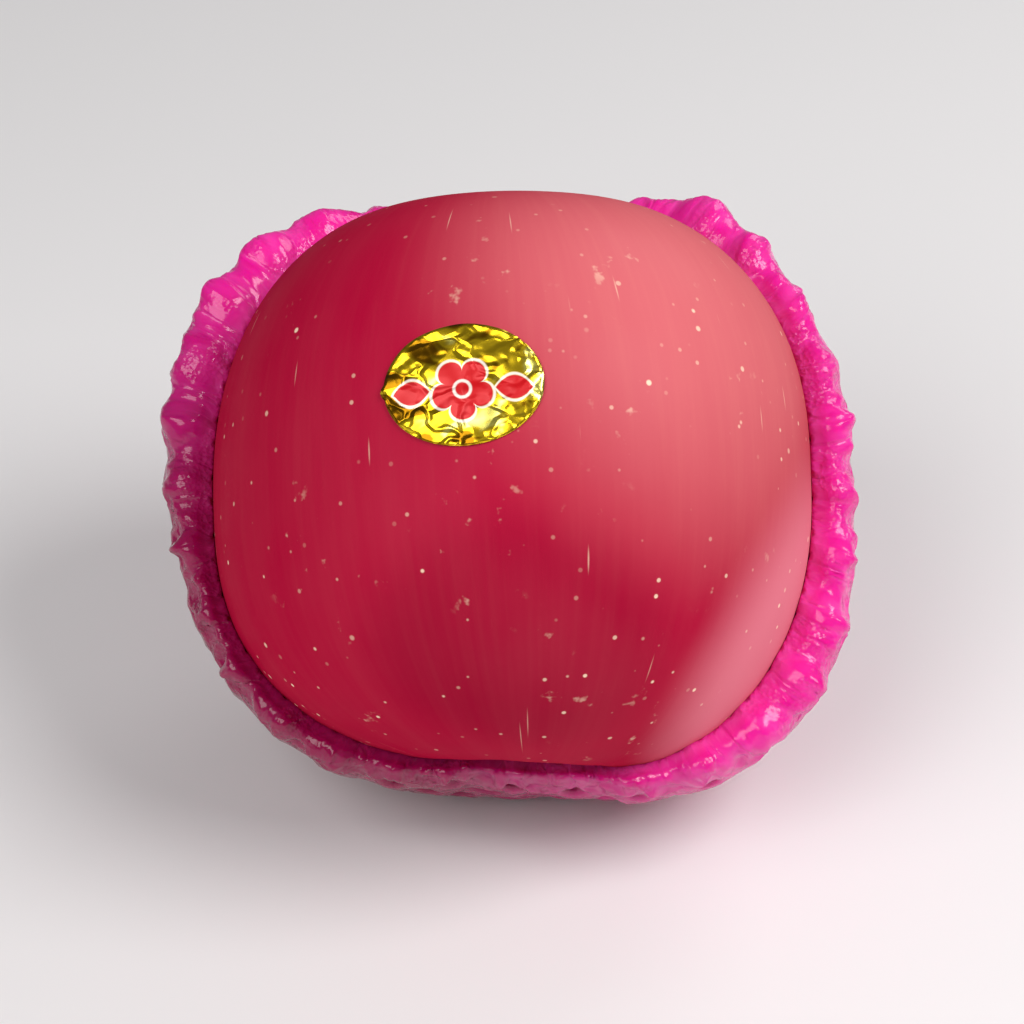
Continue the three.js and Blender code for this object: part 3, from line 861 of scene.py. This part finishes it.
def wrapped(x, y, z):
    """Where a point of the straight tube comes to lie, and how far out in the net it is, 0 to 1."""
    turn = math.atan2(y, x)
    off_wall = math.hypot(x, y) - tube_radius
    row = z / row_height
    side = 1 if row >= 0 else -1
    row = abs(row)
    if row < HALF_FOLD:
        bend = math.pi / 2 * row / HALF_FOLD
        ahead = (FOLD_RADIUS + off_wall) * math.cos(bend)
        height = (INNER_LAYER + OUTER_LAYER) / 2 + side * (FOLD_RADIUS + off_wall) * math.sin(bend)
        angle = rows[0] - ahead / NET_REACH
    else:
        height = (OUTER_LAYER if side > 0 else INNER_LAYER) + side * off_wall
        angle = row_angle(row - HALF_FOLD)
    height = max(height, CONTACT)
    to_mouth = (rows[-1] - angle) / (rows[-1] - rows[0])
    outside = height / OUTER_LAYER
    wave = math.cos(COLUMNS * turn + 0.4 * math.sin(COLUMNS * turn))
    uneven = 0.5 + noise.noise(Vector((3 * math.cos(turn), 3 * math.sin(turn), 0.5 * row)))
    height += SCALLOP * uneven * wave * outside * max(0.0, to_mouth)
    height += fullness(turn) * max(0.0, min(1.0, outside) - 0.4) / 0.6 * max(0.0, to_mouth) ** 2
    around_at = Vector((math.cos(turn), math.sin(turn), 0)) * tube_radius / (3.2 * MM)
    frill = noise.noise(around_at + Vector((0, 0, 1.4 * side * row)))
    height += FRILL * frill * max(0.0, min(1.0, outside) - 0.3)
    angle -= 0.4 * MM * wave * math.exp(-(row**2)) / NET_REACH
    if side < 0:
        turn += pitch / 2 * min(1.0, row / 3)
    from_top = math.acos(max(-1.0, min(1.0, -math.cos(turn)))) / DIP_WIDTH
    angle += MOUTH_DIP * math.exp(-(from_top**2)) * to_mouth
    round_mouth = low_side * math.cos(turn) + picture_right * math.sin(turn)
    d = mouth * math.cos(angle) + round_mouth * math.sin(angle)
    tuck = max(skin_height(d), -1.6 * MM) + TUCK * math.exp(-((turn / 0.6) ** 2)) * max(0.0, to_mouth) ** 4
    skin_at = off_fruit(d, tuck)
    room = skin_at.z / -d.z if d.z < 0 else 1.0
    return skin_at + d * height * min(1.0, room / FULL_HEIGHT), min(1.0, outside)


fine_bm = bmesh.new()
fine_bm.from_mesh(net.data)
for longest in (1.0 * MM, 0.55 * MM):
    near = [v for v in fine_bm.verts if -0.45 * row_height < v.co.z < 0.8 * row_height]
    near_set = set(near)
    coarse = [
        e for e in fine_bm.edges
        if e.verts[0] in near_set and e.verts[1] in near_set and e.calc_length() > longest]
    bmesh.ops.subdivide_edges(fine_bm, edges=coarse, cuts=1, use_grid_fill=True)
near = [v for v in fine_bm.verts if -0.4 * row_height < v.co.z < 0.75 * row_height]
for _ in range(2):
    bmesh.ops.smooth_vert(fine_bm, verts=near, factor=0.5, use_axis_x=True, use_axis_y=True, use_axis_z=True)
fine_bm.to_mesh(net.data)
fine_bm.free()
net.data.polygons.foreach_set("use_smooth", [True] * len(net.data.polygons))
print("net with a finer rim:", len(net.data.polygons), "faces")

for name, kind in (("wall", "FLOAT_VECTOR"), ("strand", "FLOAT_VECTOR"), ("ridge", "FLOAT")):
    net.data.attributes.new(name, kind, "POINT")
wall = net.data.attributes["wall"]
strand = net.data.attributes["strand"]
on_tube = [vert.co / MM for vert in net.data.vertices]
near_rim = []
for vert in net.data.vertices:
    x, y, z = vert.co
    wall.data[vert.index].vector = (x / MM, y / MM, z / MM)
    columns = math.atan2(y, x) / pitch
    half_rows = z / row_height / 2
    strand.data[vert.index].vector = (
        math.sin(math.pi * (columns + half_rows)), math.sin(math.pi * (columns - half_rows)),
        (math.hypot(x, y) - tube_radius) / MM)
    p, outside = wrapped(x, y, z)
    p += noise.noise_vector(p / (9 * MM)) * 0.6 * MM * outside**2
    p += noise.noise_vector(p / (2.6 * MM)) * 0.2 * MM * outside
    near_rim.append(max(0.0, 1 - (z / row_height / 1.1) ** 2) * max(0.0, outside))
    vert.co = p
net.data.update()
print("net wrapped")

# %% [markdown]
# ### The rim's relief
#
# The folded foam is squeezed into lobes and wrinkles. Beside the fruit runs a smooth raised strip,
# then a row of hollows, then the lobes, with slanted ridges over all of it. The left side, where the
# net is drawn tighter, is calmer. It could be left to the material, but the rim's outline shows
# against the table, so the points themselves are moved.

# %% Raise the relief of the rim
LOBES = 62


def hump(z, centre, width):
    """A smooth rise to 1 at a height of the tube."""
    return math.exp(-(((z - centre) / width) ** 2))


def rim_relief(x, y, z, near):
    """Height in millimetres and share of painted highlight of the relief at a place of the straight tube, in
    millimetres.
    """
    turn = math.atan2(y, x)
    ring = Vector((math.cos(turn), math.sin(turn), 0))
    facing = max(0.0, min(1.0, (math.hypot(x, y) - tube_radius / MM + 0.5) / 0.7))
    strip = hump(z, -0.75, 0.6) * facing
    hollow = hump(z, 0.55, 0.65) * facing * (0.8 + 0.9 * noise.noise(ring * 14))
    lobe = 0.5 + 0.5 * math.cos(LOBES * turn + 6 * noise.noise(ring * 5))
    lobe *= hump(z, 2.3, 1.1) * facing * (0.85 + 0.7 * noise.noise(ring * 10))
    slanted = Vector((x, y, z * 0.8 + x * 0.3)) / 3.4
    smooth = near * (1 - strip)
    ridge = max(0.0, 1 - 3.2 * abs(noise.noise(slanted))) * smooth
    small = max(0.0, 1 - 3.5 * abs(noise.noise(slanted * 2.1))) * smooth
    calm = 1 - 0.5 * max(0.0, min(1.0, -x / 40))
    height = 0.35 * strip - 0.9 * hollow + 0.15 * small
    height += calm * (0.85 * lobe + 0.5 * ridge**1.5)
    return height, max(strip, lobe, 0.85 * ridge, 0.4 * small)


# The ridge attribute holds the share of painted highlight on the strip, the lobes and the ridges.
ridges = net.data.attributes["ridge"]
moved = []
for vert in net.data.vertices:
    height, highlight_share = rim_relief(*on_tube[vert.index], near_rim[vert.index])
    ridges.data[vert.index].value = highlight_share
    moved.append(vert.co + net.data.vertex_normals[vert.index].vector * height * MM)
for vert, p in zip(net.data.vertices, moved):
    p.z = max(p.z, 0.0)
    vert.co = p
net.data.update()
print("rim shaped")

# %% [markdown]
# ### Foamed plastic
#
# The net is foamed polyethylene with a shiny skin: bright magenta, lit a little from within, and
# covered in fine bubbles that make it glitter along the tops of the strands. The strip, the lobes,
# the ridges and the crests of the strands are painted paler pink as highlight, and the fold's hollows
# and the strands' flanks are painted deeper as shade. Towards the lower left the colour is deeper
# still, a painted shade.

# %% Foam
foam = Paint("magenta foam", Roughness=0.16, IOR=1.5, Specular_IOR_Level=0.42)
foam.into(foam.shader, Subsurface_Weight=0.2, Subsurface_Radius=(1.0, 0.1, 0.4), Subsurface_Scale=0.003)
foam_place = foam.add("ShaderNodeTexCoord").outputs["Object"]
on_wall = foam.add("ShaderNodeAttribute", {"attribute_name": "wall"}).outputs["Vector"]
wall_z = foam.add("ShaderNodeSeparateXYZ", None, Vector=on_wall).outputs["Z"]
on_strand = foam.add("ShaderNodeAttribute", {"attribute_name": "strand"}).outputs["Vector"]
strand_xyz = foam.add("ShaderNodeSeparateXYZ", None, Vector=on_strand).outputs
off_wall = foam.math("ABSOLUTE", strand_xyz["Z"])
from_line = foam.math(
    "MINIMUM", foam.math("ABSOLUTE", strand_xyz["X"]), foam.math("ABSOLUTE", strand_xyz["Y"]))
crest = foam.math("MULTIPLY", foam.ramp(from_line, 0.55, 0.0), foam.ramp(off_wall, 0.0, 1.2))

wrinkle_place = foam.add("ShaderNodeVectorMath", {"operation": "MULTIPLY"}, i0=on_wall, i1=(0.27, 0.27, 0.2))
bent = foam.add("ShaderNodeTexNoise", None, Vector=on_wall, Scale=0.3, Detail=1.0).outputs["Color"]
bent_place = foam.add(
    "ShaderNodeVectorMath", {"operation": "ADD"}, i0=wrinkle_place.outputs["Vector"], i1=bent)
cell_edge = foam.add(
    "ShaderNodeTexVoronoi", {"feature": "DISTANCE_TO_EDGE"}, Vector=bent_place.outputs["Vector"], Scale=1.0)
close_to_rim = foam.ramp(foam.math("ABSOLUTE", wall_z), 10.0, 4.0, 0.1, 1.0)
wrinkle = foam.math("MULTIPLY", foam.ramp(cell_edge.outputs["Distance"], 0.16, 0.0), close_to_rim)
ridge = foam.add("ShaderNodeAttribute", {"attribute_name": "ridge"}).outputs["Fac"]

bubbles = foam.add("ShaderNodeTexVoronoi", None, Vector=foam_place, Scale=1500.0).outputs["Distance"]
lumps = foam.noise(foam_place, 380.0, 2.0, 0.5)
clusters = foam.ramp(foam.noise(foam_place, 150.0, 1.0), 0.46, 0.58)

# Of these colours, the darker magentas are painted shade and the pale pink is painted highlight; the dull
# magenta is the foam's own uneven tone.
HOLLOW_SHADE_MAGENTA = linear(186, 0, 92)
MAGENTA = linear(240, 4, 152)
DULL_MAGENTA = linear(214, 0, 118)
HIGHLIGHT_PINK = linear(255, 88, 186)
SHADE_MAGENTA = linear(132, 0, 54)
SHADED_SIDE = (picture_right * -0.7 - picture_up * 0.7).normalized()

# Painted shade: the fold's hollows and the strands' flanks, near the middle of the wall, are deeper magenta.
foam_colour = foam.blend(foam.ramp(off_wall, 0.0, 0.8), HOLLOW_SHADE_MAGENTA, MAGENTA)
foam_colour = foam.blend(foam.math("MULTIPLY", clusters, 0.25), foam_colour, DULL_MAGENTA)
# Painted highlight: wrinkles, crests and the rim's strip, lobes and ridges are paler pink.
pale = foam.math("MAXIMUM", foam.math("MULTIPLY", wrinkle, 0.3), foam.math("MULTIPLY", crest, 0.15))
pale = foam.math("MAXIMUM", pale, foam.math("MULTIPLY", ridge, 0.75))
foam_colour = foam.blend(pale, foam_colour, HIGHLIGHT_PINK)
# Painted shade: the foam darkens towards the lower left.
painted_shade = foam.ramp(foam.reach(foam.from_middle(foam_place), SHADED_SIDE), -0.05, 1.0, 0.0, 0.9)
foam_colour = foam.blend(painted_shade, foam_colour, SHADE_MAGENTA)
glitter = foam.math("MULTIPLY", clusters, foam.math("MULTIPLY_ADD", ridge, 0.12, 0.07))
height = foam.math("MULTIPLY_ADD", crest, 0.2, foam.math("MULTIPLY", wrinkle, 0.12))
height = foam.math("MULTIPLY_ADD", lumps, 0.16, height)
height = foam.math("MULTIPLY_ADD", bubbles, glitter, height)
foam.into(foam.shader, Base_Color=foam_colour, Normal=foam.bump(height, 1.0, 0.001))
net.data.materials.append(foam.material)
